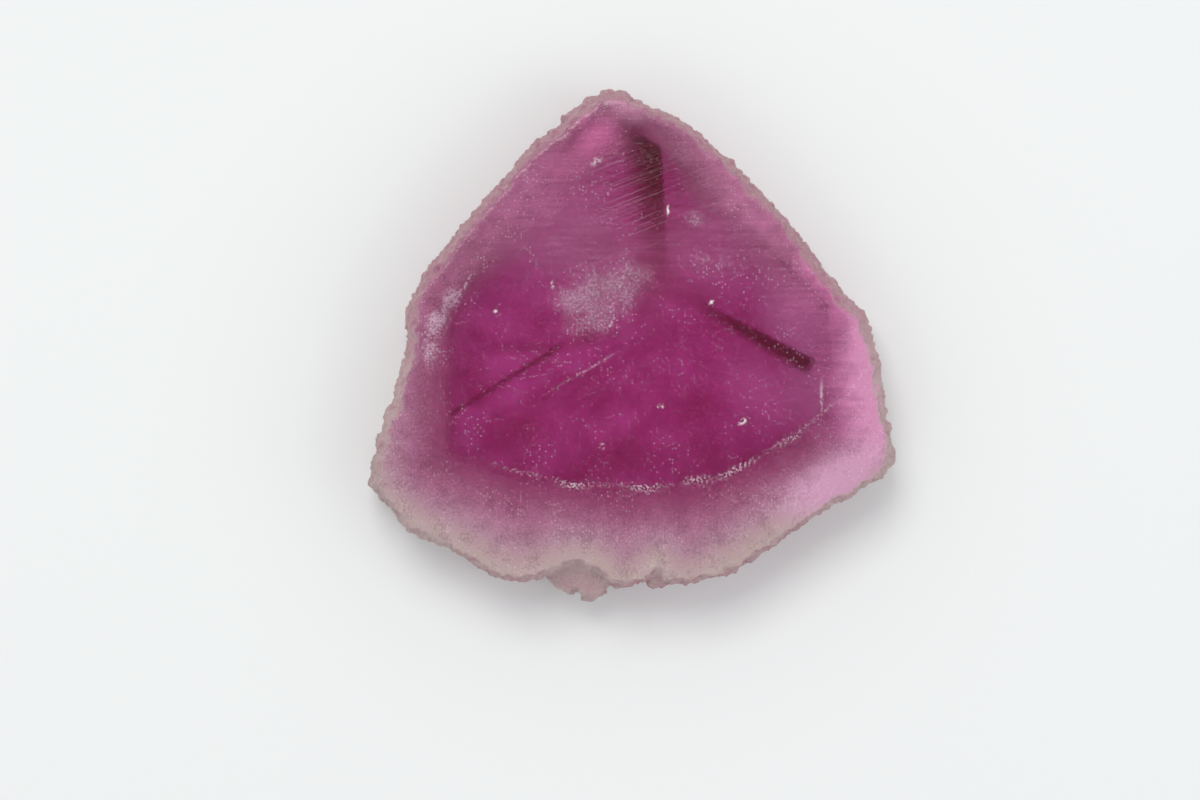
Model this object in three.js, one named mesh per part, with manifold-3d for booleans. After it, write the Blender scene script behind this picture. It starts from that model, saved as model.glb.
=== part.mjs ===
// Cross-cut slice of a watermelon tourmaline crystal, lying on its sawn back face.
// Millimetres, +Z up, polished face upwards. The origin is on the resting face, under the middle
// of the slice's bounding box. The crystal grew along Z, so the flutes of its skin run along Z too.
import * as THREE from 'three';
import { ConvexGeometry } from 'three/addons/geometries/ConvexGeometry.js';
import { mergeVertices } from 'three/addons/utils/BufferGeometryUtils.js';
import Module from 'manifold-3d';

// Driving dimensions
const THICKNESS = 2.4;
const OUTLINE_SAMPLES = 300;
const SAMPLING_FINENESS = 4; // how many times finer the curve is measured than it is sampled
const SMOOTHING_REACH = 0.55; // half length of skin over which the sawn edges even out the bumps
const FLUTES = { depth: 0.022, around: [37, 53, 71], phase: 1.7 };
const WOBBLE = { depth: 0.03, around: [9, 17], phasePerLevel: 2.1 };
const LOWER_SIDE_EDGE_SHARE = 0.4; // the lower side's edges are worn back less than the others
const CHIPS_PER_EDGE = 30;
const CHIP_DEPTH = { least: 0.02, most: 0.13 };
const CHIP_HALF_WIDTH = { least: 0.12, most: 0.42 };
const CHIP_FADE = 6; // the larger, the closer a chip stays to its edge
const RANDOM_SEED = 20;
const MERGE_TOLERANCE = 1e-5;

// The skin at its widest level, counter-clockwise from the top corner, in X and Y. It is a rounded
// triangle with bulging sides, and each point is a bump or a notch of the skin.
const UPPER_LEFT_SIDE = [
  [-0.51, 6.43], [-0.74, 6.38], [-0.89, 6.2], [-1.11, 6.13], [-1.31, 5.95], [-1.51, 5.89],
  [-1.71, 5.7], [-1.78, 5.49], [-2.04, 5.38], [-2.31, 5.2], [-2.54, 5.03], [-2.64, 4.83],
  [-2.84, 4.69], [-3.04, 4.4], [-3.14, 4.19], [-3.34, 4.1], [-3.54, 3.8], [-3.7, 3.73],
  [-3.84, 3.46], [-4.0, 3.38], [-4.05, 3.19], [-4.34, 2.95], [-4.39, 2.78], [-4.64, 2.5],
  [-4.89, 2.19], [-5.09, 2.0], [-5.3, 1.7], [-5.41, 1.4], [-5.54, 1.15], [-5.66, 0.8],
  [-5.63, 0.66], [-5.68, 0.51], [-5.63, 0.23], [-5.69, -0.33], [-5.81, -0.55], [-5.88, -1.05],
];
const LEFT_CORNER = [
  [-5.99, -1.4], [-6.16, -1.61], [-6.23, -1.9], [-6.19, -2.1], [-6.36, -2.2], [-6.43, -2.4],
  [-6.41, -2.56], [-6.33, -2.65], [-6.49, -2.78], [-6.56, -3.1], [-6.54, -3.5], [-6.36, -3.7],
  [-6.09, -3.93], [-6.01, -4.15], [-5.85, -4.34], [-5.8, -4.48],
];
const LOWER_SIDE = [
  [-5.56, -4.63], [-5.04, -4.85], [-4.56, -5.08], [-4.06, -5.36], [-3.69, -5.6], [-3.34, -5.79],
  [-2.99, -5.86], [-2.64, -5.84], [-2.19, -5.73], [-1.81, -5.54], [-1.34, -5.45], [-1.01, -5.61],
  [-0.71, -5.83], [-0.49, -6.0], [-0.29, -6.04], [-0.01, -5.94], [0.26, -5.85], [0.61, -5.85],
  [0.94, -5.99], [1.31, -5.91], [1.69, -5.85], [2.06, -5.73], [2.46, -5.68], [2.64, -5.61],
  [2.76, -5.45], [3.11, -5.31], [3.31, -5.1], [3.64, -4.9], [3.91, -4.71], [4.31, -4.43],
  [4.64, -4.18], [5.14, -3.89], [5.64, -3.63], [5.91, -3.4],
];
const RIGHT_CORNER = [
  [6.21, -3.29], [6.34, -3.11], [6.5, -3.01], [6.56, -2.83], [6.51, -2.5], [6.45, -2.2],
  [6.44, -2.0], [6.35, -1.65], [6.28, -1.15], [6.2, -0.6], [6.18, -0.29],
];
const UPPER_RIGHT_SIDE = [
  [6.05, 0.0], [5.98, 0.45], [5.84, 0.68], [5.76, 0.9], [5.46, 1.11], [5.16, 1.44], [5.09, 1.63],
  [4.76, 1.89], [4.66, 2.16], [4.44, 2.4], [4.11, 2.83], [3.69, 3.35], [3.24, 3.83],
  [2.94, 4.14], [2.66, 4.43], [2.24, 4.81], [1.84, 5.19], [1.41, 5.53], [0.89, 5.85],
  [0.39, 6.0], [0.04, 6.21], [-0.26, 6.38],
];

// Levels of the wall from the resting face up: the share of the thickness, how far the skin is worn
// back there, and how far the bumps have evened out (0 all bumps, 1 smooth).
const WALL_LEVELS = [
  { height: 0.0, inset: 0.2, evened: 0.8 },
  { height: 0.05, inset: 0.1, evened: 0.5 },
  { height: 0.2, inset: 0.03, evened: 0.15 },
  { height: 0.42, inset: 0.0, evened: 0.0 },
  { height: 0.64, inset: 0.04, evened: 0.1 },
  { height: 0.82, inset: 0.1, evened: 0.3 },
  { height: 0.95, inset: 0.17, evened: 0.6 },
  { height: 1.0, inset: 0.25, evened: 0.85 },
];

// Nicks in the upper edge where the skin above a grown-on crystal has broken away.
const UPPER_EDGE_NICKS = [
  { at: [-1.33, -5.45], depth: 0.12, halfWidth: 0.6 },
  { at: [0.61, -5.85], depth: 0.36, halfWidth: 0.3 },
];

// Pale crystals grown onto the skin. Each has an outline in X and Y at its widest level, three
// levels along Z, and the slopes of its upper end face along X and Y. Its inner side is in the slice.
const SKIN_CRYSTALS = [
  {
    outline: [[-2.19, -5.76], [-1.91, -6.1], [-1.52, -6.24], [-1.15, -5.95], [-1.3, -5.2], [-1.9, -5.2]],
    levels: { low: 0.3, wide: 0.85, high: 1.65 },
    slopes: [0.2, 0.45],
  },
  {
    outline: [[-1.45, -6.05], [-1.21, -6.43], [-0.86, -6.39], [-0.6, -6.2], [-0.66, -5.5], [-1.35, -5.3]],
    levels: { low: 0.5, wide: 1.05, high: 1.6 },
    slopes: [-0.25, 0.5],
  },
  {
    outline: [[0.36, -5.75], [0.42, -5.99], [0.62, -6.07], [0.82, -6.04], [0.9, -5.75], [0.62, -5.4]],
    levels: { low: 0.8, wide: 1.3, high: 1.85 },
    slopes: [0.1, 0.3],
  },
  {
    outline: [[-0.8, 6.26], [-1.1, 6.2], [-1.33, 5.97], [-1.2, 5.5], [-0.7, 5.7]],
    levels: { low: 0.7, wide: 1.3, high: 1.95 },
    slopes: [0.2, -0.3],
  },
  {
    outline: [[-1.33, 5.98], [-1.6, 5.9], [-1.79, 5.66], [-1.76, 5.5], [-1.4, 5.1], [-1.0, 5.5]],
    levels: { low: 0.4, wide: 1.0, high: 1.75 },
    slopes: [0.3, -0.2],
  },
];
const CRYSTAL_END_SHARE = 0.74; // how wide a grown-on crystal's end faces are against its middle

const TOURMALINE = new THREE.MeshStandardMaterial({
  name: 'tourmaline',
  color: 0x9a4877,
  roughness: 0.3,
  metalness: 0,
});

const wasm = await Module();
wasm.setup();

THREE.MathUtils.seededRandom(RANDOM_SEED);
const randomBetween = ({ least, most }) =>
  THREE.MathUtils.lerp(least, most, THREE.MathUtils.seededRandom());

// Sum of several whole numbers of waves around the skin, from -1 to 1, at a share of the way round.
function waves(counts, share, phase) {
  const total = counts.reduce(
    (sum, count, i) => sum + Math.sin(2 * Math.PI * count * share + phase * (i + 1)),
    0,
  );
  return total / counts.length;
}

// The skin's outline as evenly spaced points on a smooth closed curve through the given ones.
function sampleOutline(points) {
  const corners = points.map(([x, y]) => new THREE.Vector3(x, y, 0));
  const curve = new THREE.CatmullRomCurve3(corners, true, 'centripetal');
  curve.arcLengthDivisions = OUTLINE_SAMPLES * SAMPLING_FINENESS;
  const spaced = curve.getSpacedPoints(OUTLINE_SAMPLES).slice(0, OUTLINE_SAMPLES);
  return { points: spaced.map((p) => new THREE.Vector2(p.x, p.y)), length: curve.getLength() };
}

// The outline with its bumps evened out by a moving average along the skin.
function evenOut(points, length) {
  const reach = Math.round((SMOOTHING_REACH / length) * points.length);
  return points.map((_, i) => {
    const sum = new THREE.Vector2();
    for (let step = -reach; step <= reach; step++) {
      sum.add(points[(i + step + points.length) % points.length]);
    }
    return sum.divideScalar(2 * reach + 1);
  });
}

// Outward normals of a counter-clockwise closed outline.
function outwardNormals(points) {
  const count = points.length;
  return points.map((_, i) => {
    const along = points[(i + 1) % count].clone().sub(points[(i + count - 1) % count]);
    return new THREE.Vector2(along.y, -along.x).normalize();
  });
}

// How far a chip bites into an edge, at a distance from the chip's middle.
function bite(distance, { depth, halfWidth }) {
  const offset = distance / halfWidth;
  return offset < 1 ? depth * (1 - offset * offset) : 0;
}

// How far chips at random places eat into a sawn edge, at each outline point.
function chippedEdge(length) {
  const chips = Array.from({ length: CHIPS_PER_EDGE }, () => ({
    at: randomBetween({ least: 0, most: length }),
    depth: randomBetween(CHIP_DEPTH),
    halfWidth: randomBetween(CHIP_HALF_WIDTH),
  }));
  return Array.from({ length: OUTLINE_SAMPLES }, (_, i) => {
    const here = (i / OUTLINE_SAMPLES) * length;
    const bites = chips.map((chip) => {
      const apart = Math.abs(here - chip.at);
      return bite(Math.min(apart, length - apart), chip);
    });
    return Math.max(...bites);
  });
}

// How far the placed nicks eat into the upper edge, at each outline point.
function nickedEdge(points) {
  return points.map((point) => {
    const bites = UPPER_EDGE_NICKS.map((nick) =>
      bite(point.distanceTo(new THREE.Vector2(...nick.at)), nick),
    );
    return Math.max(...bites);
  });
}

// The slice's wall as rings of points, one for each wall level, from the resting face up.
function wallRings() {
  const skin = sampleOutline([
    ...UPPER_LEFT_SIDE,
    ...LEFT_CORNER,
    ...LOWER_SIDE,
    ...RIGHT_CORNER,
    ...UPPER_RIGHT_SIDE,
  ]);
  const smooth = evenOut(skin.points, skin.length);
  const normals = outwardNormals(smooth);
  const lowerChips = chippedEdge(skin.length);
  const upperNicks = nickedEdge(skin.points);
  const upperChips = chippedEdge(skin.length).map((chip, i) => Math.max(chip, upperNicks[i]));
  return WALL_LEVELS.map(({ height, inset, evened }, level) => {
    const awayFromMiddle = 2 * height - 1; // -1 at the resting face, 1 at the polished face
    const chips = awayFromMiddle > 0 ? upperChips : lowerChips;
    const chipShare = Math.abs(awayFromMiddle) ** CHIP_FADE;
    return skin.points.map((bumpy, i) => {
      const share = i / OUTLINE_SAMPLES;
      const wear = 1 - (1 - LOWER_SIDE_EDGE_SHARE) * Math.max(0, -normals[i].y);
      const flute = FLUTES.depth * waves(FLUTES.around, share, FLUTES.phase);
      const sway = waves(WOBBLE.around, share, WOBBLE.phasePerLevel * level);
      const out = flute + WOBBLE.depth * (1 - evened) * sway - inset * wear - chips[i] * chipShare;
      const ground = bumpy.clone().lerp(smooth[i], evened).addScaledVector(normals[i], out);
      return new THREE.Vector3(ground.x, ground.y, height * THICKNESS);
    });
  });
}

// Triangles that close a flat ring of points.
function capTriangles(ring) {
  const flat = ring.map((p) => new THREE.Vector2(p.x, p.y));
  return THREE.ShapeUtils.triangulateShape(flat, []);
}

// The closed slice: the wall between its rings, and the two flat sawn faces.
function sliceGeometry() {
  const rings = wallRings();
  const count = OUTLINE_SAMPLES;
  const triangles = [];
  for (let level = 0; level + 1 < rings.length; level++) {
    for (let i = 0; i < count; i++) {
      const next = (i + 1) % count;
      const low = level * count;
      const high = low + count;
      triangles.push(low + i, low + next, high + next, low + i, high + next, high + i);
    }
  }
  const top = (rings.length - 1) * count;
  for (const [a, b, c] of capTriangles(rings[0])) triangles.push(a, c, b);
  for (const [a, b, c] of capTriangles(rings.at(-1))) triangles.push(top + a, top + b, top + c);
  const geometry = new THREE.BufferGeometry().setFromPoints(rings.flat());
  geometry.setIndex(triangles);
  return geometry;
}

// One grown-on crystal with flat faces: its outline, drawn in towards both of its ends.
function skinCrystalGeometry({ outline, levels, slopes }) {
  const corners = outline.map(([x, y]) => new THREE.Vector2(x, y));
  const middle = new THREE.Box2().setFromPoints(corners).getCenter(new THREE.Vector2());
  const ring = (level, share, slope) =>
    corners.map((corner) => {
      const place = middle.clone().lerp(corner, share);
      const rise = slope.dot(place.clone().sub(middle));
      return new THREE.Vector3(place.x, place.y, level + rise);
    });
  const level = new THREE.Vector2();
  return new ConvexGeometry([
    ...ring(levels.low, CRYSTAL_END_SHARE, level),
    ...ring(levels.wide, 1, level),
    ...ring(levels.high, CRYSTAL_END_SHARE, new THREE.Vector2(...slopes)),
  ]);
}

// A closed geometry as a solid that can be joined to others.
function toSolid(geometry) {
  const bare = new THREE.BufferGeometry().setAttribute('position', geometry.getAttribute('position'));
  bare.setIndex(geometry.index);
  const merged = mergeVertices(bare, MERGE_TOLERANCE);
  return new wasm.Manifold(new wasm.Mesh({
    numProp: 3,
    vertProperties: merged.getAttribute('position').array,
    triVerts: new Uint32Array(merged.index.array),
  }));
}

// A joined solid as a flat-shaded geometry.
function toGeometry(solid) {
  const { vertProperties, triVerts } = solid.getMesh();
  const indexed = new THREE.BufferGeometry();
  indexed.setAttribute('position', new THREE.BufferAttribute(vertProperties, 3));
  indexed.setIndex(new THREE.BufferAttribute(triVerts, 1));
  const flat = indexed.toNonIndexed();
  flat.computeVertexNormals();
  return flat;
}

// The whole stone: the slice with its skin crystals, grown together in one piece.
function tourmalineSlice() {
  const stone = SKIN_CRYSTALS.reduce(
    (joined, crystal) => joined.add(toSolid(skinCrystalGeometry(crystal))),
    toSolid(sliceGeometry()),
  );
  const mesh = new THREE.Mesh(toGeometry(stone), TOURMALINE);
  mesh.name = 'tourmaline_slice';
  const box = new THREE.Box3().setFromObject(mesh);
  const middle = box.getCenter(new THREE.Vector3());
  mesh.position.set(-middle.x, -middle.y, -box.min.z);
  return mesh;
}

const stone = new THREE.Group();
stone.add(tourmalineSlice());

export default stone;
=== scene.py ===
"""Looks of a watermelon tourmaline slice: a see-through stone that lies on a pale floor.

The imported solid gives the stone's form. Here its skin is roughened, and one material colours the
growth zones, seams, haze and flecks by their places on the slice. Sizes are in millimetres.
"""

import logging
import math
from dataclasses import dataclass
from enum import Enum

import bpy
import numpy as np
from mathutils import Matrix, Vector
from mathutils.kdtree import KDTree


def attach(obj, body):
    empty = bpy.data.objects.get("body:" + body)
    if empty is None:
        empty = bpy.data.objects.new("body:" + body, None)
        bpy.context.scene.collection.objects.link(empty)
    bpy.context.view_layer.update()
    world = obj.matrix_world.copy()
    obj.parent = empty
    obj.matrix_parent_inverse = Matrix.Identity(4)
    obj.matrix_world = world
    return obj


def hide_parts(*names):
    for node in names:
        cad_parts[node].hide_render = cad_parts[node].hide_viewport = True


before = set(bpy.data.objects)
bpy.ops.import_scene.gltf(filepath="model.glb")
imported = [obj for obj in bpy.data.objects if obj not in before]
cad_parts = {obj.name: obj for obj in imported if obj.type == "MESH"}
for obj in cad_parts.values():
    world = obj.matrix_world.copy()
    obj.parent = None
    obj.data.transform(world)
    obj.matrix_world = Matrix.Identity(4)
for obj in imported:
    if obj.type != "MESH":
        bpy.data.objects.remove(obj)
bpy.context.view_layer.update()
MM = 0.001
NOISE_MIDDLE = 0.5
COVER_LEAST = 1e-6
LOG = logging.getLogger("tourmaline")

Point = tuple[float, float]
Span = tuple[float, float]
Colour = tuple[float, float, float, float]
Socket = bpy.types.NodeSocket


def tint(red: int, green: int, blue: int) -> Colour:
    """A screen colour as the linear colour that shaders and lamps use.

    Args:
        red: Red on the screen, from 0 to 255.
        green: Green on the screen.
        blue: Blue on the screen.

    Returns:
        The linear colour with full alpha.
    """
    shares = [value / 255 for value in (red, green, blue)]
    linear = [s / 12.92 if s <= 0.04045 else ((s + 0.055) / 1.055) ** 2.4 for s in shares]
    return (linear[0], linear[1], linear[2], 1.0)


@dataclass(frozen=True)
class Noise:
    """A noise pattern: waves to a millimetre, octaves above the first, and how strong those are."""

    scale: float
    octaves: float = 0.0
    roughness: float = 0.6


class Number:
    """A number that a shader works out, so that shader maths reads as Python maths."""

    def __init__(self, sheet: "ShaderSheet", socket: Socket) -> None:
        """Wraps an output socket of a node on the sheet."""
        self.sheet = sheet
        self.socket = socket

    def _maths(self, operation: str, *operands: "Number | float") -> "Number":
        """One Math node on the operands, in order."""
        inputs = dict(enumerate(operands))
        return self.sheet.number("ShaderNodeMath", {"operation": operation}, inputs)

    def __add__(self, other: "Number | float") -> "Number":
        """self + other"""
        return self._maths("ADD", self, other)

    def __radd__(self, other: float) -> "Number":
        """other + self"""
        return self._maths("ADD", other, self)

    def __sub__(self, other: "Number | float") -> "Number":
        """self - other"""
        return self._maths("SUBTRACT", self, other)

    def __rsub__(self, other: float) -> "Number":
        """other - self"""
        return self._maths("SUBTRACT", other, self)

    def __mul__(self, other: "Number | float") -> "Number":
        """self * other"""
        return self._maths("MULTIPLY", self, other)

    def __rmul__(self, other: float) -> "Number":
        """other * self"""
        return self._maths("MULTIPLY", other, self)

    def __truediv__(self, other: "Number | float") -> "Number":
        """self / other"""
        return self._maths("DIVIDE", self, other)

    def __rtruediv__(self, other: float) -> "Number":
        """other / self"""
        return self._maths("DIVIDE", other, self)

    def least(self, other: "Number | float") -> "Number":
        """The smaller of the two."""
        return self._maths("MINIMUM", self, other)

    def most(self, other: "Number | float") -> "Number":
        """The larger of the two."""
        return self._maths("MAXIMUM", self, other)

    def ease(self, span: Span, full: float = 1.0) -> "Number":
        """A smooth step.

        Args:
            span: The values where the step starts and ends. The end may be below the start.
            full: Its height.

        Returns:
            0 up to the start, and full from the end on.
        """
        settings = {"interpolation_type": "SMOOTHSTEP"}
        inputs = {"Value": self, "From Min": span[0], "From Max": span[1], "To Max": full}
        return self.sheet.number("ShaderNodeMapRange", settings, inputs)


class ShaderSheet:
    """The node sheet of a material or of the sky, with ways to add nodes and read them as numbers."""

    def __init__(self, owner: bpy.types.Material | bpy.types.World) -> None:
        """Empties the owner's node sheet."""
        owner.use_nodes = True
        self.tree = owner.node_tree
        self.tree.nodes.clear()
        self.turned: dict[tuple[str, float], Socket] = {}

    def node(self, kind: str, settings: dict | None = None, inputs: dict | None = None) -> bpy.types.Node:
        """Adds one node.

        Args:
            kind: The node's type.
            settings: Its properties. For a colour ramp, stops holds (place, colour) pairs.
            inputs: Socket name or number to a value, a Number or an output socket.

        Returns:
            The new node.
        """
        made = self.tree.nodes.new(kind)
        for key, value in (settings or {}).items():
            if key == "stops":
                self._set_stops(made.color_ramp, value)
            else:
                setattr(made, key, value)
        for key, value in (inputs or {}).items():
            link = value.socket if isinstance(value, Number) else value
            if isinstance(link, bpy.types.NodeSocket):
                self.tree.links.new(link, made.inputs[key])
            else:
                made.inputs[key].default_value = link
        return made

    @staticmethod
    def _set_stops(ramp: bpy.types.ColorRamp, stops: tuple[tuple[float, Colour], ...]) -> None:
        """Gives a colour ramp these stops, which are in order of place."""
        while len(ramp.elements) < len(stops):
            ramp.elements.new(1.0)
        for element, (place, colour) in zip(ramp.elements, stops):
            element.position = place
            element.color = colour

    def number(self, kind: str, settings: dict | None = None, inputs: dict | None = None,
               output: int | str = 0) -> Number:
        """Adds one node, as the method node does.

        Args:
            kind: The node's type.
            settings: Its properties.
            inputs: Values or links of its sockets.
            output: The name or number of the output that is wanted.

        Returns:
            That output.
        """
        return Number(self, self.node(kind, settings, inputs).outputs[output])

    def vector(self, operation: str, inputs: dict) -> Socket:
        """One Vector Math node whose result is a vector."""
        return self.node("ShaderNodeVectorMath", {"operation": operation}, inputs).outputs["Vector"]

    def measure(self, operation: str, inputs: dict) -> Number:
        """One Vector Math node whose result is a number."""
        return self.number("ShaderNodeVectorMath", {"operation": operation}, inputs, "Value")

    def stored(self, name: str) -> Number:
        """A number that is stored on the piece's vertices."""
        return self.number("ShaderNodeAttribute", {"attribute_name": name}, None, "Fac")

    def stored_colour(self, name: str) -> Socket:
        """A colour that is stored on the piece's vertices."""
        return self.node("ShaderNodeAttribute", {"attribute_name": name}).outputs["Vector"]

    def mixed(self, share: Number | float, first: Socket | Colour, second: Socket | Colour) -> Socket:
        """A blend of two colours.

        Args:
            share: How much of the second, from 0 to 1.
            first: The first colour.
            second: The second colour.

        Returns:
            The blended colour.
        """
        settings = {"data_type": "RGBA", "clamp_factor": True}
        return self.node("ShaderNodeMix", settings, {"Factor": share, 6: first, 7: second}).outputs[2]

    def placed(self, vector: Socket, middle: Point, turn: float = 0.0, sizes: Point = (1.0, 1.0)) -> Socket:
        """A place as seen from a turned and sized frame.

        Args:
            vector: The place in plan.
            middle: Where that frame's origin is.
            turn: How far the frame is turned counter-clockwise, in degrees.
            sizes: How long its units are along its own axes.

        Returns:
            The place in that frame.
        """
        way = math.radians(turn)
        axes = ((math.cos(way), math.sin(way)), (-math.sin(way), math.cos(way)))
        key = (vector.node.name, turn)
        if key not in self.turned:
            reaches = [self.measure("DOT_PRODUCT", {0: vector, 1: (*axis, 0.0)}) for axis in axes]
            self.turned[key] = self.node("ShaderNodeCombineXYZ", None, dict(enumerate(reaches))).outputs[0]
        start = [middle[0] * axis[0] + middle[1] * axis[1] for axis in axes]
        return self.vector("MULTIPLY_ADD", {
            0: self.turned[key],
            1: (1.0 / sizes[0], 1.0 / sizes[1], 0.0),
            2: (-start[0] / sizes[0], -start[1] / sizes[1], 0.0),
        })

    def parts(self, vector: Socket) -> tuple[Number, Number]:
        """The first two parts of a vector."""
        outputs = self.node("ShaderNodeSeparateXYZ", None, {0: vector}).outputs
        return Number(self, outputs[0]), Number(self, outputs[1])

    def noise(self, vector: Socket, pattern: Noise) -> Number:
        """A noise pattern in plan, from about 0 to 1."""
        return Number(self, self._noise_node(vector, pattern).outputs[0])

    def _noise_node(self, vector: Socket, pattern: Noise) -> bpy.types.Node:
        """The noise node of a pattern in plan."""
        return self.node("ShaderNodeTexNoise", {"noise_dimensions": "2D"}, {
            "Vector": vector,
            "Scale": pattern.scale,
            "Detail": pattern.octaves,
            "Roughness": pattern.roughness,
        })

    def frayed(self, vector: Socket, pattern: Noise, reach: float) -> Socket:
        """A place that noise pushes about.

        Args:
            vector: The place in plan.
            pattern: The noise.
            reach: How far it pushes at most, to both sides together.

        Returns:
            The pushed place.
        """
        push = self._noise_node(vector, pattern).outputs["Color"]
        centred = self.vector("SUBTRACT", {0: push, 1: (NOISE_MIDDLE,) * 3})
        return self.vector("MULTIPLY_ADD", {0: centred, 1: (reach, reach, 0.0), 2: vector})

    def dots(self, vector: Socket, scale: float, radii: Span, share: float) -> Number:
        """Round dots at random places, of which few are strong.

        Args:
            vector: The place in plan.
            scale: Cells to a millimetre, of which each holds at most one dot.
            radii: A dot's outer radius, and the radius where it is full, as shares of a cell.
            share: What share of the cells has a dot.

        Returns:
            The dot's strength in its middle, and 0 between the dots.
        """
        inputs = {"Vector": vector, "Scale": scale}
        cells = self.node("ShaderNodeTexVoronoi", {"voronoi_dimensions": "2D"}, inputs)
        chance = self.number("ShaderNodeSeparateColor", None, {0: cells.outputs["Color"]})
        strength = chance.ease((1.0 - share, 1.0))
        return Number(self, cells.outputs["Distance"]).ease(radii) * strength * strength


class PatchKind(Enum):
    """What a soft patch of the slice is.

    Clear crystal of another colour, smooth milky crystal, grainy frost, crumbs along the core's lower
    edge, scratches, small crystals on the skin, or a bright fleck.
    """

    GLOW = "glow"
    BLUSH = "blush"
    HAZE = "haze"
    CRUST = "crust"
    SCRATCH = "scratch"
    LUMP = "lump"
    FLECK = "fleck"


@dataclass(frozen=True)
class Patch:
    """A soft patch: its middle, half sizes, turn in degrees, strength and colour."""

    middle: Point
    sizes: Point
    turn: float
    strength: float
    colour: Colour = (1.0, 1.0, 1.0, 1.0)

    def strengths(self, points: np.ndarray) -> np.ndarray:
        """The patch's strength at places in plan.

        Args:
            points: The places, one row each.

        Returns:
            Its full strength in its middle, 0 from its edge on, and a smooth fall between.
        """
        way = math.radians(self.turn)
        offset = points - np.array(self.middle)
        along = offset @ np.array((math.cos(way), math.sin(way))) / self.sizes[0]
        aside = offset @ np.array((-math.sin(way), math.cos(way))) / self.sizes[1]
        share = np.clip(1.0 - np.hypot(along, aside), 0.0, 1.0)
        return self.strength * share * share * (3.0 - 2.0 * share)

    def shaded(self, sheet: ShaderSheet, vector: Socket) -> Number:
        """The same strength, worked out by a shader."""
        offset = sheet.placed(vector, self.middle, self.turn, self.sizes)
        return sheet.measure("LENGTH", {0: offset}).ease((1.0, 0.0), self.strength)


HOT = tint(253, 180, 220)
PINK = tint(253, 184, 236)
ROSE = tint(248, 142, 218)
LILAC = tint(250, 190, 234)
MAROON = tint(216, 92, 168)
WINE = tint(196, 66, 140)
ROSE_MILK = tint(206, 112, 168)
MAUVE_MILK = tint(188, 112, 152)
HOT_MILK = tint(215, 110, 168)
PALE_MILK = tint(198, 132, 166)
LILAC_MILK = tint(202, 150, 182)
RIM_MILK = tint(206, 140, 178)
VEIL_MILK = tint(214, 178, 200)

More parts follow.
